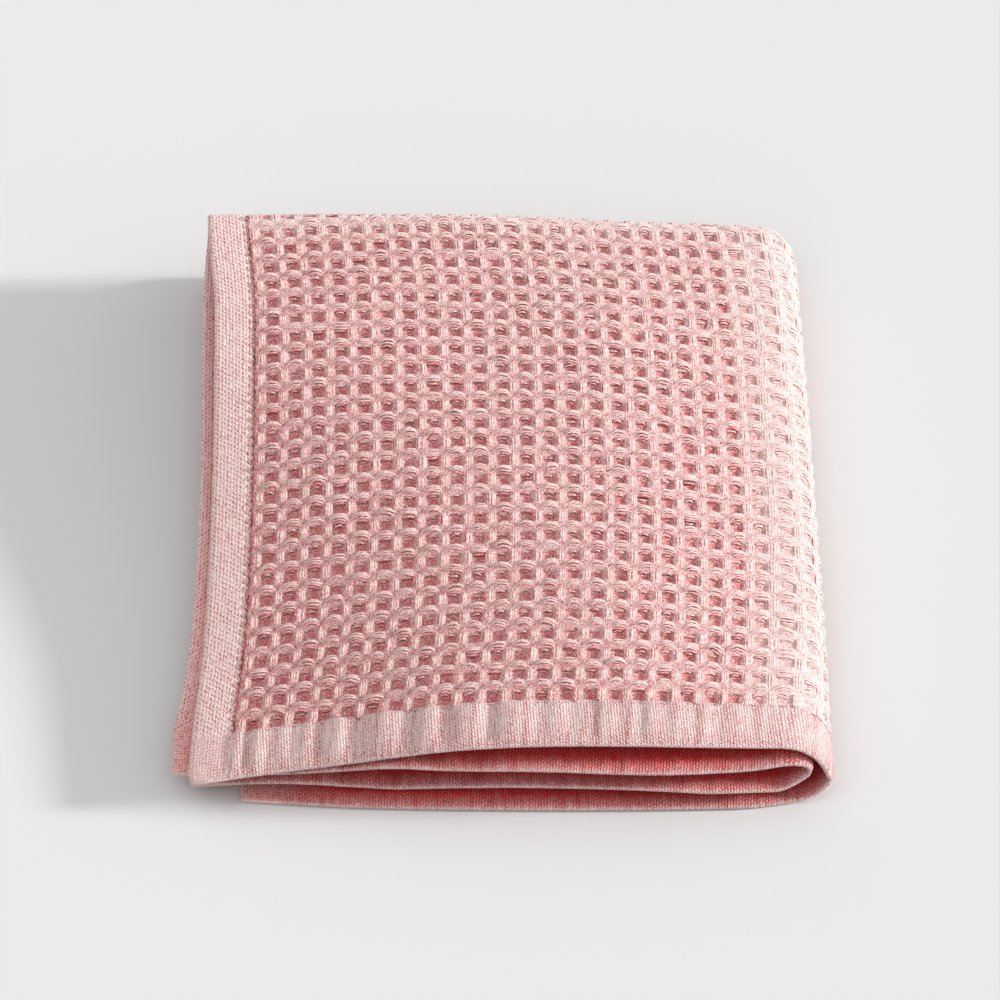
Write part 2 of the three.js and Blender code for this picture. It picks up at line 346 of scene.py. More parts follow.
def on_cloth(s, t, height):
    """Points in metres at a height out from the middle. The bottom layer's hems are flush with the floor."""
    s, t = round_corners(s, t)
    place, on_floor = middle(s, t)
    side, end = seam_distance(s, t)
    in_hem = 1 - smooth(np.minimum(side, end) / HEM_STEP_WIDE + 0.5)
    lowered = on_floor * in_hem * (BODY_THICK - HEM_THICK) / 2
    points = place - OUTLINE_MIDDLE + outward(s, t) * (height + lowered)[..., None]
    points[..., 2] = np.maximum(points[..., 2], 0.0)
    return points * MM


def in_cell(place, first, pitch, shift):
    """Place from the nearest pit's middle, as a share of the pitch, from minus a half to a half."""
    share = (place - first) / pitch + shift
    return share - np.round(share)


def slack(s, t):
    """Share of the weave's relief that is left: less where the cloth is drawn tight over the bends."""

    def over(place, tight, loose):
        return smooth((place - tight[0]) / tight[1]) * (1 - smooth((place - loose[0]) / loose[1]))

    return mix(1, TIGHT_RELIEF, np.maximum(over(s, TIGHT_S, LOOSE_S), over(t, TIGHT_T, LOOSE_T)))


def painted_light_fade(s, t):
    """Painted light: how much deeper the colour is than its mean, 0.5 at the front left and -0.5 at the right
    back.
    """
    return 0.5 - np.clip(FADE_SHARES[0] * s / FADE_ACROSS + FADE_SHARES[1] * t / FADE_ALONG, 0, 1)


def weave_relief(s, t, shift, relief):
    """The ground cloth's height and how deep its colour is: pits, walls round them, knots at crossings. The
    deep colour in the pits and up the wall that faces away from the light is painted shade.
    """
    u = in_cell(s, PIT_S, CELL_WIDE, shift)
    v = in_cell(t, PIT_T, CELL_LONG, shift)

    def wall(across):
        far = (across**4 + v**4) ** (1 / 4)
        return smooth((far - WALL_FOOT) / (WALL_TOP - WALL_FOOT))

    knot = smooth((np.abs(u) - KNOT_START) / KNOT_WIDE) * smooth((np.abs(v) - KNOT_START) / KNOT_WIDE)
    height = mix(relief["pit"], relief["ridge"], wall(u)) - knot * (relief["ridge"] - relief["knot"])
    left = slack(s, t)
    # Painted shade: deep in the pit, and shifted up the wall that faces left, away from the light.
    deep = 1 - wall(np.where(u > 0, u - DEEP_SHIFT, u)) + knot
    return mix(relief["ridge"] - TIGHT_DROP, height, left), deep * left


def hem_height(s, t):
    """Height of a hem's face, rounded at its edge: the root of 1 less the squared share left to the edge."""
    edge = np.minimum(np.minimum(s, SHEET_WIDE - s), np.minimum(t, SHEET_LONG - t))
    left = np.clip(1 - edge / EDGE_ROUND, 0, EDGE_SHARE)
    return HEM_THICK / 2 * np.sqrt(1 - left**2)


# Creases of the front hem where its sewing draws it in, measured from the left: place across and depth.
CREASES = {
    "s": [
        *[0, 9.5, 14.5, 21, 27, 33, 43, 57, 66, 77.5, 91],
        *[98, 104, 110.5, 116, 121.5, 129, 135, 144, 152, 160, 170],
    ],
    "deep": [
        *[0, 0.3, 1.5, 0.3, 0.5, 1.0, 1.5, 1.4, 1.0, 1.9, 0.6],
        *[0.4, 0.9, 0.3, 0.9, 1.1, 0.6, 1.0, 0.4, 0.2, 0.2, 0],
    ],
}
BACK_CREASES_SHIFT = 4.3
# They fade towards the edge and past the seam, and are shallower on the bottom layer.
PUCKER_FADE = {"edge": {"past": 1, "wide": 6}, "seam": {"past": 3, "wide": 4}}
BOTTOM_PUCKER = 0.3


def pucker(s, t):
    """How far the end hem dips between two creases, u of the way: depth times (2u - 1)^2 less a half."""
    edge = np.minimum(t, SHEET_LONG - t)
    near_edge, near_seam = PUCKER_FADE["edge"], PUCKER_FADE["seam"]
    fade = smooth((edge + near_edge["past"]) / near_edge["wide"])
    fade = fade * smooth((END_HEM + near_seam["past"] - edge) / near_seam["wide"])
    calm = np.where((s > SHEET_WIDE / 2) & (t < SHEET_LONG / 2), BOTTOM_PUCKER, 1)
    from_left = np.minimum(s, SHEET_WIDE - s) + np.where(t > SHEET_LONG / 2, BACK_CREASES_SHIFT, 0)
    places = np.array(CREASES["s"], float)
    deep = np.array(CREASES["deep"])
    k = np.clip(np.searchsorted(places, from_left, side="right") - 1, 0, len(places) - 2)
    u = np.clip((from_left - places[k]) / (places[k + 1] - places[k]), 0, 1)
    return mix(deep[k], deep[k + 1], u) * ((2 * u - 1) ** 2 - 0.5) * fade * calm


def hump(place, shape):
    """A bell curve: the size times e to the minus ((place - middle) / width)^2."""
    size, centre, width = shape
    return size * np.exp(-(((place - centre) / width) ** 2))


def ground_height(s, t, face):
    """Height of one face of the ground cloth, out from the middle on face 1 and in from it on face -1."""
    outer_face = face > 0
    relief = OUTER_RELIEF if outer_face else INNER_RELIEF
    weave, deep = weave_relief(s, t, 0.0 if outer_face else 0.5, relief)
    side, end = seam_distance(s, t)
    in_body = smooth(side / BODY_STEP) * smooth(end / BODY_STEP)
    groove = hump(side, SIDE_GROOVE) * (end > -1) + hump(end, END_GROOVE) * (side > -1)
    height = mix(hem_height(s, t) - groove, weave, in_body) - pucker(s, t) * face
    # Painted shade beside the seams, in their grooves.
    beside_seam = hump(side, SIDE_SEAM_DEEP) * (end > 0) + hump(end, END_SEAM_DEEP) * (side > 0)
    return height * face, np.maximum(deep * in_body, beside_seam)


def inside_folds(s, t, face):
    """Painted shade inside the folds: from near 0 at the rim, and on faces that look out of the folds, to 1
    between two layers.
    """
    crease = through(CREASE["share"], CREASE["length"], s / SHEET_WIDE)
    looks_in = smooth((t - crease) / FOLD_WIDE + 0.5) if face > 0 else np.ones_like(t)
    from_edge = np.minimum(np.minimum(s, SHEET_WIDE - s) / SIDE_BAND, np.minimum(t, SHEET_LONG - t))
    near = smooth(from_edge / INSIDE_START)
    far = smooth((from_edge - INSIDE_START) / INSIDE_DEPTH)
    return looks_in * (INSIDE_SHARES["rim"] + INSIDE_SHARES["near"] * near + INSIDE_SHARES["far"] * far)


def grid_lines(length, hem, first, pitch, shown_to):
    """Places of grid lines: a few in each hem, and over each cell many where it shows and few elsewhere."""
    inside = hem + HEM_MARGIN
    cells = first + pitch * CELL_NUMBERS
    many = (cells[:, None] + pitch * np.array(MANY_LINES)).ravel()
    few = (cells[:, None] + pitch * np.array(FEW_LINES)).ravel()
    body = np.concatenate([many[many < shown_to], few[few >= shown_to]])
    body = body[(body > inside + LINES_APART) & (body < length - inside - LINES_APART)]
    edge = np.append(hem * np.array(HEM_LINES), inside)
    return np.concatenate([edge, body, length - edge[::-1]])


def lines_on_creases(across, back):
    """The grid's places. In the end hems the line nearest each crease lies on it."""
    s, t = np.meshgrid(across, back)
    in_hem = smooth((END_HEM + 1 - np.minimum(t, SHEET_LONG - t)) / 2)
    places = np.array(CREASES["s"][1:], float)
    for shift, at_back in ((0, False), (BACK_CREASES_SHIFT, True)):
        from_left = places - shift
        from_left = from_left[from_left > SIDE_HEM * HEM_LINES[2]]
        both = np.concatenate([from_left, SHEET_WIDE - from_left])
        nearest = np.abs(across[None] - both[:, None]).argmin(1)
        moved = np.zeros(len(across))
        moved[nearest] = both - across[nearest]
        s = s + np.where((t > SHEET_LONG / 2) == at_back, in_hem * moved, 0)
    return s, t


def make_piece(name, points, faces, maps, values, material):
    """A mesh of points in metres and of arrays of corners, one array for each number of sides."""
    mesh = bpy.data.meshes.new(name)
    corners = np.concatenate([f.ravel() for f in faces])
    sides = np.concatenate([np.full(len(f), f.shape[1]) for f in faces])
    mesh.vertices.add(len(points))
    mesh.vertices.foreach_set("co", points.astype(np.float32).ravel())
    mesh.loops.add(len(corners))
    mesh.loops.foreach_set("vertex_index", corners.astype(np.int32))
    mesh.polygons.add(len(sides))
    mesh.polygons.foreach_set("loop_start", (np.cumsum(sides) - sides).astype(np.int32))
    mesh.polygons.foreach_set("use_smooth", np.ones(len(sides), bool))
    mesh.update(calc_edges=True)
    for title, parts in maps.items():
        layer = mesh.uv_layers.new(name=title)
        flat = np.concatenate([p.reshape(-1, 2) for p in parts])
        layer.uv.foreach_set("vector", flat.astype(np.float32).ravel())
    for title, numbers in values.items():
        attribute = mesh.attributes.new(title, "FLOAT", "POINT")
        attribute.data.foreach_set("value", numbers.astype(np.float32).ravel())
    mesh.materials.append(material)
    piece = bpy.data.objects.new(name, mesh)
    bpy.context.scene.collection.objects.link(piece)
    return piece


def cloth_maps(place, rim, faces):
    """The map of the cloth laid flat, and the bake map: outer face left, inner face right, rim at the top."""
    half = place / np.array([SHEET_WIDE, SHEET_LONG]) * np.array(FACE_MAP) + MAP_MARGIN
    half[len(place) // 2 :, 0] += 0.5
    run = np.arange(len(rim)) / len(rim) * RIM_MAP["length"] + RIM_MAP["start"]
    low = np.full(len(rim) - 1, RIM_MAP["low"])
    high = np.full(len(rim) - 1, RIM_MAP["high"])
    strip = np.stack([run[1:], low, run[:-1], low, run[:-1], high, run[1:], high], -1)
    return {"OFBake": [half[faces[0]], strip], "cloth": [place[faces[0]], place[faces[1]]]}


def cloth_piece(material):
    """The ground cloth: a closed sheet, an outer and an inner face on one grid and a strip round the rim."""
    across = grid_lines(SHEET_WIDE, SIDE_HEM, PIT_S, CELL_WIDE, SHOWN_ACROSS)
    back = grid_lines(SHEET_LONG, END_HEM, PIT_T, CELL_LONG, SHOWN_ALONG)
    s, t = lines_on_creases(across, back)
    outer_height, outer_deep = ground_height(s, t, 1)
    inner_height, inner_deep = ground_height(s, t, -1)
    points = np.concatenate([on_cloth(s, t, h).reshape(-1, 3) for h in (outer_height, inner_height)])
    rows, columns = s.shape
    number = np.arange(rows * columns).reshape(rows, columns)
    a, b, c, d = number[:-1, :-1], number[:-1, 1:], number[1:, 1:], number[1:, :-1]
    outer_faces = np.stack([a, b, c, d], -1).reshape(-1, 4)
    inner = rows * columns
    inner_faces = outer_faces[:, ::-1] + inner
    rim = np.concatenate([number[0], number[1:, -1], number[-1, -2::-1], number[-2::-1, 0]])
    start, end = rim[:-1], rim[1:]
    rim_faces = np.stack([end, start, start + inner, end + inner], -1)
    faces = [np.concatenate([outer_faces, inner_faces]), rim_faces]
    place = np.stack([s.ravel(), t.ravel()], -1)
    # The loose values are the weave's slack plus the painted light fade.
    loose = (slack(s, t) + FADE_TONE * painted_light_fade(s, t)).ravel()
    # The deep and inside values carry painted shade: in the pits and the seams' grooves, and between the
    # layers.
    values = {
        "deep": np.concatenate([outer_deep.ravel(), inner_deep.ravel()]),
        "inside": np.concatenate([inside_folds(s, t, face).ravel() for face in (1, -1)]),
        "loose": np.concatenate([loose, loose]),
    }
    maps = cloth_maps(np.concatenate([place, place]), rim, faces)
    return make_piece("washcloth_ground", points, faces, maps, values, material)


def yarn_faces(rings, sides):
    """Corners of one yarn's quads, ring after ring, and of the triangles round its two end points."""
    ring, side = np.meshgrid(np.arange(rings - 1), np.arange(sides), indexing="ij")
    after = (side + 1) % sides
    spot = lambda row, turn_by: 2 + row * sides + turn_by
    quads = np.stack([spot(ring, side), spot(ring, after), spot(ring + 1, after), spot(ring + 1, side)], -1)
    side = np.arange(sides)
    after = (side + 1) % sides
    first = np.stack([0 * side, spot(0, after), spot(0, side)], -1)
    last = np.stack([0 * side + 1, spot(rings - 1, side), spot(rings - 1, after)], -1)
    return quads.reshape(1, -1, 4), np.concatenate([first, last])[None]


def yarn_maps(line, sides):
    """For the same corners, the length run along the yarn in millimetres and the share of a turn round it."""
    count, steps = line.shape[:2]
    step_length = np.linalg.norm(np.diff(line, axis=1), axis=-1)
    run = np.concatenate([np.zeros((count, 1)), np.cumsum(step_length, 1)], 1)
    turn = (np.arange(sides + 1) + 0.5) / sides
    ring, side = np.meshgrid(np.arange(steps - 3), np.arange(sides), indexing="ij")
    ring, side = ring.ravel(), side.ravel()
    quad_run = np.stack([run[:, ring + 1], run[:, ring + 1], run[:, ring + 2], run[:, ring + 2]], -1)
    quad_turn = np.stack([turn[side], turn[side + 1], turn[side + 1], turn[side]], -1)
    start, end = turn[:-1], turn[1:]
    at = lambda step: run[:, [step] * sides]
    first_run = np.stack([at(0), at(1), at(1)], -1)
    last_run = np.stack([at(steps - 1), at(steps - 2), at(steps - 2)], -1)
    cap_run = np.concatenate([first_run, last_run], 1)
    cap_turn = np.concatenate([np.stack([start, end, start], -1), np.stack([start, start, end], -1)])
    quads = np.stack([quad_run, np.broadcast_to(quad_turn, quad_run.shape)], -1)
    caps = np.stack([cap_run, np.broadcast_to(cap_turn, cap_run.shape)], -1)
    return (quads, caps), run.max()


def tubes(name, line, side_axis, radius, tone, material, sides=4):
    """Closed yarns along lines (yarn, step, 3): a ring of points at each step, one point at each end."""
    count, steps = line.shape[:2]
    turn = 2 * np.pi * (np.arange(sides) + 0.5) / sides
    round_it = np.zeros((sides, 3))
    round_it[:, side_axis] = np.cos(turn) * (1 if side_axis == 1 else -1)
    round_it[:, 2] = np.sin(turn) * YARN_FLAT
    ring = line[:, 1:-1, None, :] + radius[:, 1:-1, None, None] * round_it
    spots = np.concatenate([line[:, [0, -1]], ring.reshape(count, -1, 3)], 1)
    points = on_cloth(spots[..., 0], spots[..., 1], spots[..., 2]).reshape(-1, 3)
    first_point = (np.arange(count) * spots.shape[1])[:, None, None]
    faces = [(first_point + part).reshape(-1, part.shape[-1]) for part in yarn_faces(steps - 2, sides)]
    worn, longest = yarn_maps(line, sides)
    tiles = int(np.ceil(np.sqrt(count)))
    tile = np.stack([np.arange(count) % tiles, np.arange(count) // tiles], -1)[:, None, None, :]
    scale = np.array([TILE_FILL / longest, TILE_FILL])
    baked = [(part * scale + TILE_MARGIN + tile) / tiles for part in worn]
    maps = {
        title: [part.reshape(-1, part.shape[2], 2) for part in both]
        for title, both in (("OFBake", baked), ("yarn", worn))
    }
    # Painted shade: each yarn deepens towards its ends, where it dips into the cloth.
    q = np.linspace(-1, 1, steps)
    dip = TONE_AT_ENDS * np.concatenate([q[[0, -1]] ** 4, np.repeat(q[1:-1] ** 4, sides)])
    return make_piece(name, points, faces, maps, {"tone": tone[:, None] + dip}, material)


def edge_floats(across, along, table, side_axis, area):
    """Lines and radii of the floats over cell edges: arches that dip at their ends, uneven as they lie.

    For q from -1 to 1, the height is the end's plus the rise times 1 - q^2, and the bow is its size
    times (1 - q^2)(1 + q skew).
    """
    spots = np.stack(np.meshgrid(across, along), -1).reshape(-1, 2)
    spots = spots[area(spots[:, 0], spots[:, 1])]
    kinds = len(table["beside"])
    each = {key: np.tile(np.array(column), len(spots))[:, None] for key, column in table.items()}
    cells = len(spots)
    spots = np.repeat(spots, kinds, 0)
    count = len(spots)

    def uneven(key):
        together = np.repeat(rng.normal(0, CELL_JITTER[key], cells), kinds)
        return (together + rng.normal(0, OWN_JITTER[key], count))[:, None]

    q = np.array(FLOAT_STEPS)[None]
    arch = 1 - q**2
    sagging = np.repeat(np.where(rng.uniform(0, 1, cells) < SAGGING, SAGGING_BOW, 1.0), kinds)[:, None]
    half = each["half"] * (1 + rng.normal(0, OWN_JITTER["length"], count))[:, None]
    rise = (each["middle"] - each["end"]) * (1 + uneven("rise"))
    bow_size = np.where(each["bow"] > 0, each["bow"] * sagging + uneven("bow"), uneven("bow") * STRAIGHT_BOW)
    bow = bow_size * arch * (1 + q * uneven("skew"))
    run_axis = 1 - side_axis
    line = np.zeros((count, len(FLOAT_STEPS), 3))
    slid = rng.normal(0, OWN_JITTER["place"], count)[:, None]
    line[..., run_axis] = spots[:, run_axis, None] + half * q + slid
    line[..., side_axis] = spots[:, side_axis, None] + each["beside"] + uneven("beside") + bow
    left = slack(spots[:, 0], spots[:, 1])[:, None]
    line[..., 2] = mix(OUTER_RELIEF["ridge"], each["end"] + rise * arch, left) - YARN_RADIUS * YARN_FLAT / 2
    thickness = 1 + rng.normal(0, OWN_JITTER["radius"], count)
    radius = YARN_RADIUS * thickness[:, None] * np.array(FLOAT_SWELL)[None]
    # The tone is painted shade with a random jitter; over the bends it thins out, and the painted light fade
    # is added.
    tone = each["tone"][:, 0] + rng.normal(0, OWN_JITTER["tone"], count)
    tone = (tone + TIGHT_PALER) * left[:, 0] - TIGHT_PALER
    return line, radius, tone + FADE_TONE * painted_light_fade(spots[:, 0], spots[:, 1])


def inside_hems(s, t, margin):
    side, end = seam_distance(s, t)
    return (side > margin) & (end > margin)


def cell_places(first, pitch, length):
    places = first + pitch * CELL_NUMBERS
    return places[(places > 0) & (places < length)]


class Value:
    """A number socket of a material. Python's operators on it add Math nodes."""

    def __init__(self, paint, socket):
        self.paint = paint
        self.socket = socket

    def __add__(self, other):
        return self.paint.maths("ADD", self, other)

    def __sub__(self, other):
        return self.paint.maths("SUBTRACT", self, other)

    def __rsub__(self, other):
        return self.paint.maths("SUBTRACT", other, self)

    def __mul__(self, other):
        return self.paint.maths("MULTIPLY", self, other)

    def __truediv__(self, other):
        return self.paint.maths("DIVIDE", self, other)

    def __pow__(self, other):
        return self.paint.maths("POWER", self, other)

    __radd__ = __add__
    __rmul__ = __mul__


class Paint:
    """The nodes of a material, or of the studio's light."""

    def __init__(self, owner):
        self.owner = owner
        owner.use_nodes = True
        self.tree = owner.node_tree
        self.shader = self.tree.nodes.get("Principled BSDF")

    def node(self, kind, settings=None, inputs=None):
        """Adds a node, sets its settings first, then its sockets to numbers, colours or links."""
        made = self.tree.nodes.new("ShaderNode" + kind)
        for key, value in (settings or {}).items():
            setattr(made, key, value)
        for key, value in (inputs or {}).items():
            self.plug(made.inputs[key], value)
        return made

    def plug(self, socket, value):
        if isinstance(value, Value):
            self.tree.links.new(value.socket, socket)
        else:
            socket.default_value = value

    def out(self, made, socket=0):
        return Value(self, made.outputs[socket])

    def maths(self, operation, *values):
        return self.out(self.node("Math", {"operation": operation}, dict(enumerate(values))))

    def held(self, value):
        """A value held between 0 and 1."""
        return self.out(self.node("Clamp", None, {"Value": value}))

    def wave(self, turns):
        """From 0 to 1 and back once for each turn: a half plus half the cosine."""
        return self.maths("COSINE", turns * (2 * np.pi)) * 0.5 + 0.5

    def noise(self, place, scale, detail=2.0):
        made = self.node("TexNoise", None, {"Vector": place, "Scale": scale, "Detail": detail})
        return self.out(made, "Fac")

    def blend(self, share, a, b):
        """One colour turning into another by a share."""
        made = self.node("Mix", {"data_type": "RGBA"}, {0: share, 6: a, 7: b})
        return self.out(made, 2)

    def bump(self, height, distance):
        made = self.node("Bump", None, {"Height": height, "Distance": distance})
        return self.out(made)

    def place_on(self, title):
        """The two numbers of one of the piece's own maps."""
        made = self.node("UVMap", {"uv_map": title})
        split = self.node("SeparateXYZ", None, {0: self.out(made)})
        return self.out(split, 0), self.out(split, 1)

    def in_cell(self, place, first, pitch):
        """Place from the nearest pit's middle, as a share of the pitch, from minus a half to a half."""
        return self.maths("FRACT", place / pitch + (0.5 - first / pitch) % 1) - 0.5

    def drawn_out(self, across, back, scale):
        """Noise over two numbers, one of them made small so that the noise is drawn out along it."""
        made = self.node("CombineXYZ", None, {0: across, 1: back})
        return self.noise(self.out(made), scale)

    def attribute(self, title):
        return self.out(self.node("Attribute", {"attribute_name": title}), "Fac")

    def object_place(self):
        return self.out(self.node("TexCoord"), "Object")

    def finish(self, colour, normal):
        self.plug(self.shader.inputs["Base Color"], colour)
        self.plug(self.shader.inputs["Normal"], normal)
        for socket, value in COTTON_SHADER.items():
            self.shader.inputs[socket].default_value = value
        return self.owner


# Colours are linear. A dry cotton: rough, little gloss, a faint sheen.
COTTON_SHADER = {"Roughness": 0.92, "Specular IOR Level": 0.2, "Sheen Weight": 0.3, "Sheen Roughness": 0.5}
PALE_PINK = (0.83, 0.675, 0.655, 1)
YARN_PINK = (0.83, 0.645, 0.615, 1)
# Deeper pink for tone that differs at random and for painted shade: in the hems' gaps, creases and edge band,
# and on the yarns' undersides.
TONE_AND_SHADE_PINK = (0.5, 0.17, 0.16, 1)
# Painted shade in the pits, and on the yarns that dip into them.
SHADE_ROSE = (0.6, 0.17, 0.175, 1)
# Painted shade between the folded layers.
FOLD_SHADE_RED = (0.72, 0.04, 0.04, 1)
# Painted shade in the seam's groove and holes, and the pits' darkest specks.
SEAM_RED = (0.12, 0.02, 0.015, 1)
# Fineness of the noises on the object, and of those drawn out along the cloth, after a squeeze along it.
NOISE_SCALE = {"fuzz": 1800.0, "specks": 3800.0, "patches": 500.0}
# Of these, the streaks on the end hem are painted light and shade of its puckers; the runs differ at random.
DRAWN_NOISE = {"shade streaks": (0.1, 0.55), "runs": (0.25, 1.1)}
# How much the fuzz bends each pattern's lines, in turns.
WOBBLE = {"plain": 0.5, "rings": 0.6, "rib": 0.6, "stitch": 0.8, "bumps": 0.6, "grid": 0.4}

# The weave: ten threads to a cell, and in each pit a core a little off its middle with rings round it. The
# core is the pit's darkest painted shade, set off towards the wall in shade.
THREAD_WIDE, THREAD_LONG = CELL_WIDE / 10, CELL_LONG / 10
CORE_SHIFT, PIT_RINGS = (0.06, -0.05), 5.6
CORE_HELD, CORE_SHARP = 1.5, 5
DEEP_SHARP, DEEP_START = 1.6, 0.4
# The side hem's ribs and their stitches: millimetres from one to the next, sway, slant and the ribs' share.
RIB_PITCH, RIB_STITCH = 0.92, 1.3
RIB_SWAY, STITCH_SLANT, RIB_SHARE = 0.25, 0.5, 0.6
# The end hem's slanting bumps, with their share in a row, and the corner's grid.
BUMP_PITCH, BUMP_LEAN, BUMP_LONG, BUMP_SHARE = 0.76, 6.0, 1.05, 0.8
GRID_PITCH = 0.8
# The hems' inner edges: a wave of the side hem's, and how sharp and uneven they are.
HEM_WAVE = {"pitch": 2.3, "depth": 0.35}
HEM_SHARP, HEM_UNEVEN = {"side": 4, "end": 2}, 2
# The pale line along the cloth's edge, a painted highlight, and the deeper band of the end hem beside it,
# painted shade where the hem curls down.
RIM_WIDE, NEAR_EDGE_WIDE = 0.6, 5.0
# The dark line beside the side seam, and its spots: painted shade in the seam's groove and the holes along
# it.
SEAM_BESIDE, SEAM_SHARP, SEAM_DEEPER = 0.3, 2.2, 0.5
SPOTS = {"scale": 700.0, "sharp": 9, "start": 4.3, "share": 0.8}
DARK_SHARE = 0.45
# Depth of the bump in metres.
CLOTH_BUMP, YARN_BUMP = 0.00022, 0.0001

# How much each part of the pattern deepens the colour, area by area and all over. Painted light and shade
# among them: the fade that loose carries, the end hem's edge band, its streaks and its bumps' pale tops and
# deep gaps, the shade between the layers, and the pale rim, a painted highlight.
DEEPER = {
    "body": {"even": -0.05, "loose": 0.5},
    "side hem": {"even": 0.36, "ribs": -0.6, "runs": 1.1, "dots": 0.6},
    "end hem": {"even": 0.5, "edge shade": 0.25, "bumps": -1.2, "shade streaks": 1.5, "runs": 0.5},
    "corner": {"even": 0.55, "grid": -0.6},
}
DEEPER_ALL = {"hidden": 0.4, "fuzz": 1.4, "specks": 2.2, "patches": 0.4, "rim": -0.5}
# How much it makes up the side hem's dots, the pits' rose, their dark specks and the red inside the folds;
# the rose, the specks and the red are painted shade.
DOTS = {"even": -0.7, "gaps": 1.6, "specks": 4, "fuzz": 2}
PIT = {"even": 0.6, "core": 0.5, "rings": -0.45, "plain": -0.2, "fuzz": 2.0, "specks": 2.0}
DARK = {"even": -0.1, "fuzz": 2.5, "specks": 3.5}
INSIDE = {"even": 1.15, "weave": -0.45, "patches": 0.6, "specks": 1.2}
# The threads' pattern in each area, and how high it stands.
WEAVE = {"body": {"plain": 1}, "side hem": {"ribs": 1}, "end hem": {"bumps": 1}, "corner": {"grid": 1}}
RAISED = {
    "body": {"plain": 0.4, "rings": 0.4},
    "side hem": {"ribs": 0.8},
    "end hem": {"bumps": 1.4},
    "corner": {"grid": 0.6},
}
RAISED_ALL = {"fuzz": 0.5, "specks": 0.8}

# A float: millimetres of a twist, its top as a share of a turn, and what deepens its colour; the deeper
# underside is painted shade.
TWIST_PITCH, TOP_OF_YARN = 1.7, 0.25
YARN_DEEPER = {"even": 1.48, "above": -1.5, "twist": -0.35, "tone": 0.5, "fuzz": 1.2, "specks": 2.2}
# How much rosier the float's painted shade tone makes it.
YARN_ROSIER = 0.7

# The lockstitches: from one to the next, half length, how far into the hem, rise and how far they sink.
STITCH_PITCH, STITCH_HALF, STITCH_INSET = 2.4, 0.9, 0.5
STITCH_START, STITCH_RISE, STITCH_SUNK, STITCH_JITTER = 2.0, 0.16, 0.12, 0.06
STITCH_STEPS = [-1.0, -0.6, 0.0, 0.6, 1.0]
STITCH_RADIUS = 0.15 * np.array([0.0, 0.9, 1.0, 0.9, 0.0])
STITCH_TONE = (0.3, 0.8)


def weigh(parts, weights):
    """The sum of the parts that the weights name, each times its weight."""
    total = 0
    for name, weight in weights.items():
        total = parts[name] * weight + total
    return total


def by_area(areas, parts, table):
    """The sum over the areas of each area's share times its own weighed parts."""
    total = 0
    for name, area in areas.items():
        total = area * weigh(parts, table[name]) + total
    return total


def noises(paint, place, titles):
    """Fuzz of the yarn, specks or patches, each from minus a half to a half."""
    return {title: paint.noise(place, NOISE_SCALE[title]) - 0.5 for title in titles}


def hem_shares(paint, from_side, from_end, t, patches):
    """Shares of a place that are in a side hem and in an end hem, and where the side hem's wavy edge is."""
    edge = SIDE_HEM + paint.wave(t / HEM_WAVE["pitch"] + patches) * HEM_WAVE["depth"]
    side_hem = paint.held((edge - from_side) * HEM_SHARP["side"] + 0.5)
    end_hem = paint.held((END_HEM - from_end) * HEM_SHARP["end"] + 0.5 + patches * HEM_UNEVEN)
    return side_hem, end_hem, edge


def add_body_pattern(paint, parts, s, t):
    """Plain weave over the cells, and in each pit a core of painted shade with rings of thread round it."""
    beside = paint.in_cell(s, PIT_S, CELL_WIDE) - CORE_SHIFT[0]
    behind = paint.in_cell(t, PIT_T, CELL_LONG) - CORE_SHIFT[1]
    from_core = paint.maths("SQRT", beside * beside + behind * behind)
    fuzz = parts["fuzz"]
    across = paint.wave(s / THREAD_WIDE + fuzz * WOBBLE["plain"])
    parts["plain"] = across * paint.wave(t / THREAD_LONG + fuzz * WOBBLE["plain"])
    parts["core"] = paint.held(CORE_HELD - from_core * CORE_SHARP)
    parts["rings"] = paint.wave(from_core * PIT_RINGS + fuzz * WOBBLE["rings"])


def add_side_hem_pattern(paint, parts, s, t):
    """Ribs along the side hem, crossed by short stitches, with dots between them."""
    fuzz = parts["fuzz"]
    rib = paint.wave(s / RIB_PITCH + paint.wave(t / RIB_STITCH) * RIB_SWAY + fuzz * WOBBLE["rib"])
    stitch = paint.wave(t / RIB_STITCH + s * STITCH_SLANT + fuzz * WOBBLE["stitch"])
    parts["ribs"] = rib * RIB_SHARE + stitch * (1 - RIB_SHARE)
    parts["gaps"] = (1 - rib) * (1 - stitch)
    parts["dots"] = paint.held(weigh(parts, DOTS))


def add_end_hem_pattern(paint, parts, s, t):
    """Slanting rows of bumps along the end hem, and the corner's grid."""
    fuzz = parts["fuzz"]
    lean = s / BUMP_PITCH + t / BUMP_LEAN + fuzz * WOBBLE["bumps"]
    row = paint.wave(t / BUMP_LONG + lean / 2 + parts["patches"])
    parts["bumps"] = paint.wave(lean) * (row * BUMP_SHARE + (1 - BUMP_SHARE))
    grid = [paint.wave(place / GRID_PITCH + fuzz * WOBBLE["grid"]) * 0.5 for place in (s, t)]
    parts["grid"] = grid[0] + grid[1]


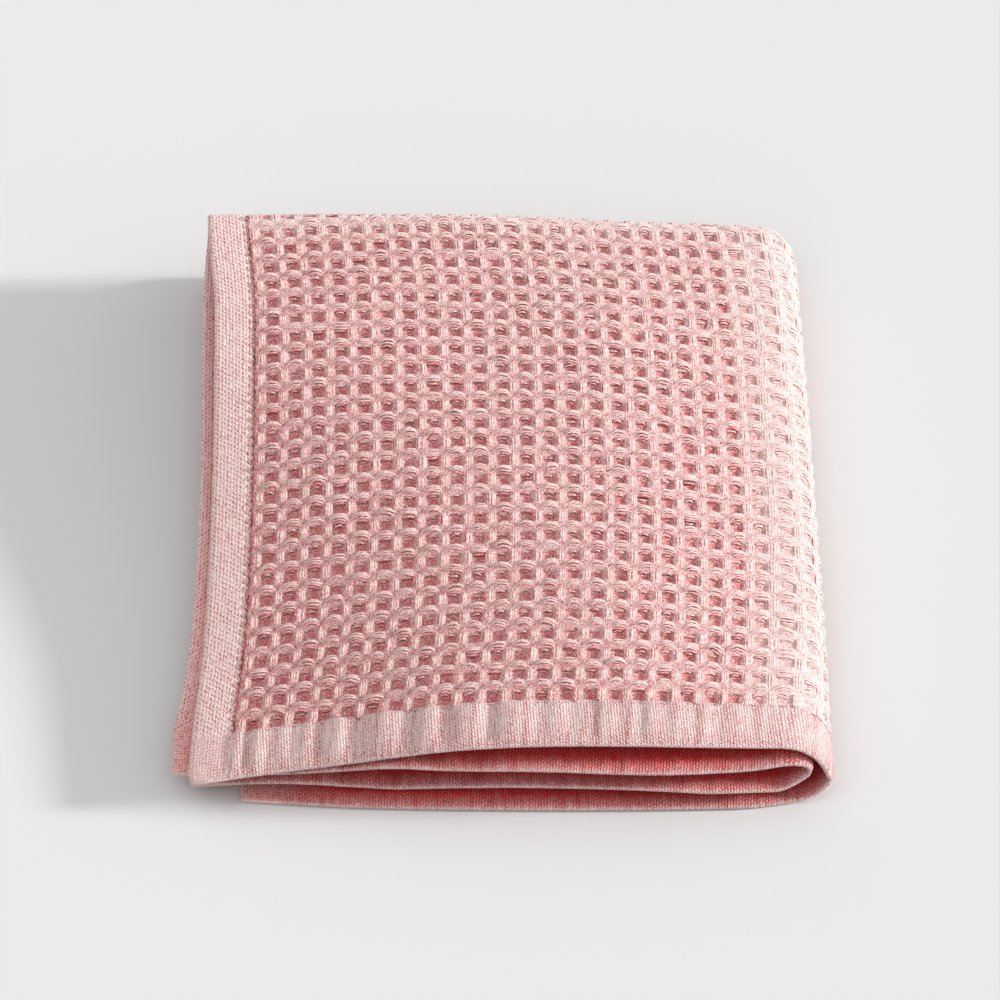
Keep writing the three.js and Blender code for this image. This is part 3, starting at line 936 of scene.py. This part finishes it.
def cloth_paint():
    """Ground cloth: plain weave in cells, ribs in side hems, bumps in end hems, a grid at the corners."""
    paint = Paint(bpy.data.materials.new("washcloth_weave"))
    s, t = paint.place_on("cloth")
    place = paint.object_place()
    from_side = paint.maths("MINIMUM", s, SHEET_WIDE - s)
    from_end = paint.maths("MINIMUM", t, SHEET_LONG - t)
    # The loose attribute carries the painted light fade, and the inside attribute the painted shade between
    # the layers.
    parts = {"even": 1, "loose": paint.attribute("loose"), "hidden": paint.attribute("inside")}
    parts.update(noises(paint, place, ("fuzz", "specks", "patches")))
    # The streaks are painted light and shade of the end hem's puckers.
    for title, (squeeze, scale) in DRAWN_NOISE.items():
        parts[title] = paint.drawn_out(s, t * squeeze, scale) - 0.5
    side_hem, end_hem, edge = hem_shares(paint, from_side, from_end, t, parts["patches"])
    areas = {
        "body": (1 - side_hem) * (1 - end_hem),
        "side hem": side_hem * (1 - end_hem),
        "end hem": end_hem * (1 - side_hem),
        "corner": side_hem * end_hem,
    }
    add_body_pattern(paint, parts, s, t)
    add_side_hem_pattern(paint, parts, s, t)
    add_end_hem_pattern(paint, parts, s, t)
    # Painted shade in a band by the end hem's edge, and a painted highlight on the rim.
    parts["edge shade"] = paint.held(1 - from_end / NEAR_EDGE_WIDE)
    parts["rim"] = paint.held(1 - from_end / RIM_WIDE)
    parts["weave"] = by_area(areas, parts, WEAVE)

    # Painted shade in the pits, with their darkest specks.
    in_pit = areas["body"] * paint.held(paint.attribute("deep") * DEEP_SHARP - DEEP_START)
    pit = paint.held(in_pit * weigh(parts, PIT))
    dark = paint.held(weigh(parts, DARK)) * in_pit
    # Painted shade inside the folds.
    inside = paint.held(parts["hidden"] * weigh(parts, INSIDE))
    # The deeper pink: random tone, and the painted light and shade weighed in DEEPER.
    low = paint.held(by_area(areas, parts, DEEPER) + weigh(parts, DEEPER_ALL))
    # Painted shade in the seam's groove and the holes along it.
    off_seam = paint.maths("ABSOLUTE", from_side - edge - SEAM_BESIDE)
    seam = paint.held(1 - off_seam * SEAM_SHARP) * (1 - end_hem)
    spots = paint.held(paint.noise(place, SPOTS["scale"]) * SPOTS["sharp"] - SPOTS["start"]) * seam

    colour = paint.blend(paint.held(low + seam * SEAM_DEEPER), PALE_PINK, TONE_AND_SHADE_PINK)
    colour = paint.blend(pit, colour, SHADE_ROSE)
    colour = paint.blend(inside, colour, FOLD_SHADE_RED)
    colour = paint.blend(paint.held(spots * SPOTS["share"] + dark * DARK_SHARE), colour, SEAM_RED)
    height = by_area(areas, parts, RAISED) + weigh(parts, RAISED_ALL)
    return paint.finish(colour, paint.bump(height, CLOTH_BUMP))


def yarn_paint():
    """Floats: two strands twisted together, pale above and deeper below, deeper where they dip into a pit.
    The deeper underside and dips are painted shade.
    """
    paint = Paint(bpy.data.materials.new("washcloth_yarn"))
    run, turn = paint.place_on("yarn")
    parts = {
        "even": 1,
        "twist": paint.wave(turn * 2 + run / TWIST_PITCH),
        "above": paint.wave(turn - TOP_OF_YARN),
        "tone": paint.attribute("tone"),
    }
    parts.update(noises(paint, paint.object_place(), ("fuzz", "specks")))
    low = paint.held(weigh(parts, YARN_DEEPER))
    deeper = paint.blend(paint.held(parts["tone"] * YARN_ROSIER), TONE_AND_SHADE_PINK, SHADE_ROSE)
    colour = paint.blend(low, YARN_PINK, deeper)
    return paint.finish(colour, paint.bump(parts["twist"] + parts["specks"], YARN_BUMP))


def stitch_rows():
    """Lines of the lockstitches along the hems' inner edges, on both faces: a low arch each."""
    q = np.array(STITCH_STEPS)[None]
    side_rows = (1, STITCH_START, SHEET_LONG, SHEET_WIDE, SIDE_HEM)
    end_rows = (0, END_HEM, SHEET_WIDE, SHEET_LONG, END_HEM)
    lines = []
    for axis, first, length, other, hem in (side_rows, end_rows):
        places = np.arange(first, length - STITCH_START, STITCH_PITCH)
        for beside in (hem - STITCH_INSET, other - hem + STITCH_INSET):
            for face in (1, -1):
                line = np.zeros((len(places), len(STITCH_STEPS), 3))
                line[..., axis] = places[:, None] + STITCH_HALF * q
                line[..., 1 - axis] = beside + rng.normal(0, STITCH_JITTER, len(places))[:, None]
                line[..., 2] = face * (HEM_THICK / 2 - STITCH_SUNK + STITCH_RISE * (1 - q**2))
                lines.append((axis, line))
    return lines


cloth_material = cloth_paint()
yarn_material = yarn_paint()

ground = cloth_piece(cloth_material)

columns = cell_places(PIT_S, CELL_WIDE, SHEET_WIDE)
rows = cell_places(PIT_T, CELL_LONG, SHEET_LONG)
column_edges = cell_places(PIT_S + CELL_WIDE / 2, CELL_WIDE, SHEET_WIDE)
row_edges = cell_places(PIT_T + CELL_LONG / 2, CELL_LONG, SHEET_LONG)


def shown(s, t):
    """Whether a place is on the part of the outer face that shows, clear of the hems."""
    return (s < SHOWN_ACROSS) & (t < SHOWN_ALONG) & inside_hems(s, t, FLOATS_CLEAR)


def underneath(s, t):
    """Whether it is on the part of the outer face that lies on the floor."""
    return (s >= SHOWN_ACROSS) & (t < SHOWN_ALONG) & inside_hems(s, t, FLOATS_CLEAR)


pieces = []
for title, area, sides in (("top", shown, 5), ("underside", underneath, 3)):
    line, radius, tone = edge_floats(columns, row_edges, WEFT_FLOATS, 1, area)
    pieces.append(tubes(f"weft_floats_{title}", line, 1, radius, tone, yarn_material, sides))
    line, radius, tone = edge_floats(column_edges, rows, WARP_FLOATS, 0, area)
    pieces.append(tubes(f"warp_floats_{title}", line, 0, radius, tone, yarn_material, sides))
line, radius, tone = edge_floats(columns, row_edges, WALL_FLOATS, 1, shown)
pieces.append(tubes("wall_floats_top", line, 1, radius, tone, yarn_material, 4))

for axis, title in ((1, "side"), (0, "end")):
    line = np.concatenate([row for along, row in stitch_rows() if along == axis])
    radius = np.broadcast_to(STITCH_RADIUS, line.shape[:2])
    tone = rng.uniform(*STITCH_TONE, len(line))
    pieces.append(tubes(f"{title}_hem_stitches", line, 1 - axis, radius, tone, yarn_material))

for piece in [ground, *pieces]:
    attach(piece, "root")
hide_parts("washcloth")

# The floor, the light and the camera, in metres and degrees.
scene = bpy.context.scene
FLOOR_HALF = 3.0
FLOOR_CORNERS = [(-1, -1, 0), (1, -1, 0), (1, 1, 0), (-1, 1, 0)]
FLOOR_SHADER = {"Base Color": (0.7, 0.7, 0.7, 1), "Roughness": 1.0, "Specular IOR Level": 0.0}


def floor_piece():
    """A plain pale floor without gloss."""
    mesh = bpy.data.meshes.new("floor")
    mesh.from_pydata(FLOOR_HALF * np.array(FLOOR_CORNERS), [], [(0, 1, 2, 3)])
    paint = Paint(bpy.data.materials.new("floor"))
    for socket, value in FLOOR_SHADER.items():
        paint.shader.inputs[socket].default_value = value
    mesh.materials.append(paint.owner)
    piece = bpy.data.objects.new("floor", mesh)
    scene.collection.objects.link(piece)
    return piece


floor_piece()


def studio_light():
    """Soft light all round, more from above and the right: a base plus powers of the direction."""
    world = bpy.data.worlds.new("studio")
    light = Paint(world)
    direction = light.out(light.node("TexCoord"), "Generated")

    def towards(way, sharp):
        found = light.node("VectorMath", {"operation": "DOT_PRODUCT"}, {0: direction, 1: way})
        return light.maths("MAXIMUM", light.out(found, "Value"), 0.0) ** sharp

    strength = LIGHT_BASE
    for way, sharp, power in LIGHT_LOBES:
        strength = towards(way, sharp) * power + strength
    background = light.tree.nodes["Background"]
    light.plug(background.inputs["Color"], (1, 1, 1, 1))
    light.plug(background.inputs["Strength"], strength)
    return world


LIGHT_BASE = 0.1
# Where each light comes from, the power that narrows it, and its strength.
LIGHT_LOBES = [
    ((-0.35, 0.0, 0.94), 3.0, 1.5),
    ((0.9, 0.0, 0.42), 5.0, 1.4),
    ((-0.95, 0.0, 0.3), 4.0, 0.35),
    ((0.0, -0.95, 0.3), 4.0, 0.25),
]
scene.world = studio_light()

# The low sun from the right.
KEY_ELEVATION, KEY_TURN, KEY_SPREAD, KEY_STRENGTH = 17.5, 3.6, 7.0, 3.3
key = bpy.data.lights.new("key", "SUN")
key.energy = KEY_STRENGTH
key.angle = np.radians(KEY_SPREAD)
key_lamp = bpy.data.objects.new("key", key)
key_lamp.rotation_euler = (0, np.radians(90 - KEY_ELEVATION), np.radians(KEY_TURN))
scene.collection.objects.link(key_lamp)

CAMERA_PLACE = (-0.00064, -0.46709, 0.76026)
CAMERA_ELEVATION = 58.0
FOCAL_PIXELS, FRAME_PIXELS, SENSOR = 3327.0, 1000.0, 36.0
NEAREST, GAMMA = 0.01, 0.8
camera_data = bpy.data.cameras.new("camera")
camera_data.sensor_width = SENSOR
camera_data.lens = FOCAL_PIXELS / FRAME_PIXELS * SENSOR
camera_data.clip_start = NEAREST
camera = bpy.data.objects.new("camera", camera_data)
camera.location = CAMERA_PLACE
camera.rotation_euler = (np.radians(90 - CAMERA_ELEVATION), 0, 0)
scene.collection.objects.link(camera)
scene.camera = camera
scene.view_settings.view_transform = "Standard"
scene.view_settings.gamma = GAMMA
